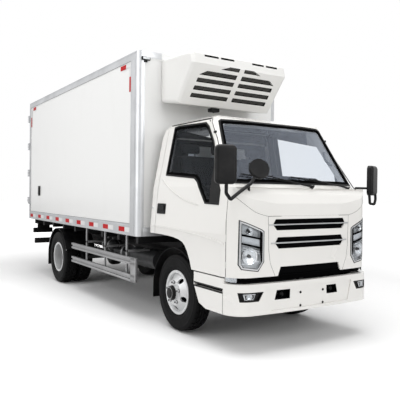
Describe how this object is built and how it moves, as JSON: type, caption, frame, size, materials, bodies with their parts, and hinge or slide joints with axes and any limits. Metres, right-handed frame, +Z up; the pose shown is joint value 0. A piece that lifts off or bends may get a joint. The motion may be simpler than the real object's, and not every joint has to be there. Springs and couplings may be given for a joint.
{
  "type": "refrigerated truck",
  "caption": "Light refrigerated truck: tilting cab with opening doors, insulated box with rear doors and a cooling unit over the cab, steered front wheels and twin rear wheels.",
  "frame": {"origin": "on the ground under the middle of the whole vehicle", "axes": "+X forward, +Y to the left, +Z up"},
  "size_m": [5.9948, 2.0824, 2.916],
  "materials": {
    "frame_black": "satin",
    "engine_grey": "matte",
    "tank_steel": "satin",
    "guard_alloy": "satin",
    "rear_steel": "satin",
    "lamp_red": "gloss",
    "black_plastic": "matte",
    "cab_paint": "gloss",
    "cab_underside": "matte",
    "lamp_clear": "gloss",
    "box_panel": "gloss",
    "unit_shell": "satin",
    "wheel_silver": "satin",
    "tyre_rubber": "matte",
    "window_glass": "gloss",
    "seat_fabric": "matte"
  },
  "bodies": {
    "chassis": {"battery_box": "frame_black", "box_edge_rails": "guard_alloy", "box_floor": "box_panel", "box_front_wall": "box_panel", "box_rear_frame": "rear_steel", "box_roof": "box_panel", "box_wall_left": "box_panel", "box_wall_right": "box_panel", "bumper": "cab_paint", "chassis_frame": "frame_black", "cooling_unit": "unit_shell", "driveline": "engine_grey", "engine_block": "engine_grey", "fog_lamps": "lamp_clear", "front_axle": "frame_black", "fuel_tank": "tank_steel", "leaf_springs": "frame_black", "mudguards": "black_plastic", "rear_axle": "frame_black", "rear_bar": "rear_steel", "rear_lamps": "lamp_red", "side_guards": "guard_alloy", "silencer": "tank_steel", "step_panels": "black_plastic"},
    "steering_right": {"steering_knuckle_right": "frame_black"},
    "steering_left": {"steering_knuckle_left": "frame_black"},
    "front_wheel_right_body": {"front_wheel_right": "wheel_silver", "front_tyre_right": "tyre_rubber"},
    "front_wheel_left_body": {"front_wheel_left": "wheel_silver", "front_tyre_left": "tyre_rubber"},
    "rear_wheels_right_body": {"rear_wheels_right": "wheel_silver", "rear_tyres_right": "tyre_rubber"},
    "rear_wheels_left_body": {"rear_wheels_left": "wheel_silver", "rear_tyres_left": "tyre_rubber"},
    "cab": {"cab_roof": "cab_paint", "cab_back_panel": "cab_paint", "cab_floor": "cab_underside", "cab_front_panel": "cab_paint", "cab_glass": "window_glass", "headlights": "lamp_clear", "grille": "black_plastic", "mirrors": "black_plastic", "seats": "seat_fabric", "dashboard": "black_plastic"},
    "cab_door_left_body": {"cab_door_left": "cab_paint", "door_glass_left": "window_glass"},
    "cab_door_right_body": {"cab_door_right": "cab_paint", "door_glass_right": "window_glass"},
    "box_door_left_body": {"box_door_left": "box_panel", "door_gear_left": "rear_steel"},
    "box_door_right_body": {"box_door_right": "box_panel", "door_gear_right": "rear_steel"}
  },
  "joints": [
    {"name": "steer_right", "type": "hinge", "parent": "chassis", "child": "steering_right", "pos_m": [1.9125, -0.64, 0.3875], "axis": [0, 0, 1], "range_deg": [-35, 35]},
    {"name": "steer_left", "type": "hinge", "parent": "chassis", "child": "steering_left", "pos_m": [1.9125, 0.64, 0.3875], "axis": [0, 0, 1], "range_deg": [-35, 35]},
    {"name": "front_right_spin", "type": "hinge", "parent": "steering_right", "child": "front_wheel_right_body", "pos_m": [1.9125, -0.72, 0.3875], "axis": [0, 1, 0], "continuous": true},
    {"name": "front_left_spin", "type": "hinge", "parent": "steering_left", "child": "front_wheel_left_body", "pos_m": [1.9125, 0.72, 0.3875], "axis": [0, 1, 0], "continuous": true},
    {"name": "rear_right_spin", "type": "hinge", "parent": "chassis", "child": "rear_wheels_right_body", "pos_m": [-1.4475, -0.728, 0.3875], "axis": [0, 1, 0], "continuous": true},
    {"name": "rear_left_spin", "type": "hinge", "parent": "chassis", "child": "rear_wheels_left_body", "pos_m": [-1.4475, 0.728, 0.3875], "axis": [0, 1, 0], "continuous": true},
    {"name": "cab_tilt", "type": "hinge", "parent": "chassis", "child": "cab", "pos_m": [2.8875, 0, 0.72], "axis": [0, 1, 0], "range_deg": [0, 45]},
    {"name": "cab_door_left_swing", "type": "hinge", "parent": "cab", "child": "cab_door_left_body", "pos_m": [2.7975, 0.846, 1.2], "axis": [0, 0, -1], "range_deg": [0, 70]},
    {"name": "cab_door_right_swing", "type": "hinge", "parent": "cab", "child": "cab_door_right_body", "pos_m": [2.7975, -0.846, 1.2], "axis": [0, 0, 1], "range_deg": [0, 70]},
    {"name": "box_door_left_swing", "type": "hinge", "parent": "chassis", "child": "box_door_left_body", "pos_m": [-2.9835, 0.986, 1.9], "axis": [0, 0, -1], "range_deg": [0, 240]},
    {"name": "box_door_right_swing", "type": "hinge", "parent": "chassis", "child": "box_door_right_body", "pos_m": [-2.9835, -0.986, 1.9], "axis": [0, 0, 1], "range_deg": [0, 240]}
  ],
  "couplings": [
    {"joint": "steer_left", "follows": "steer_right", "ratio": 1}
  ]
}
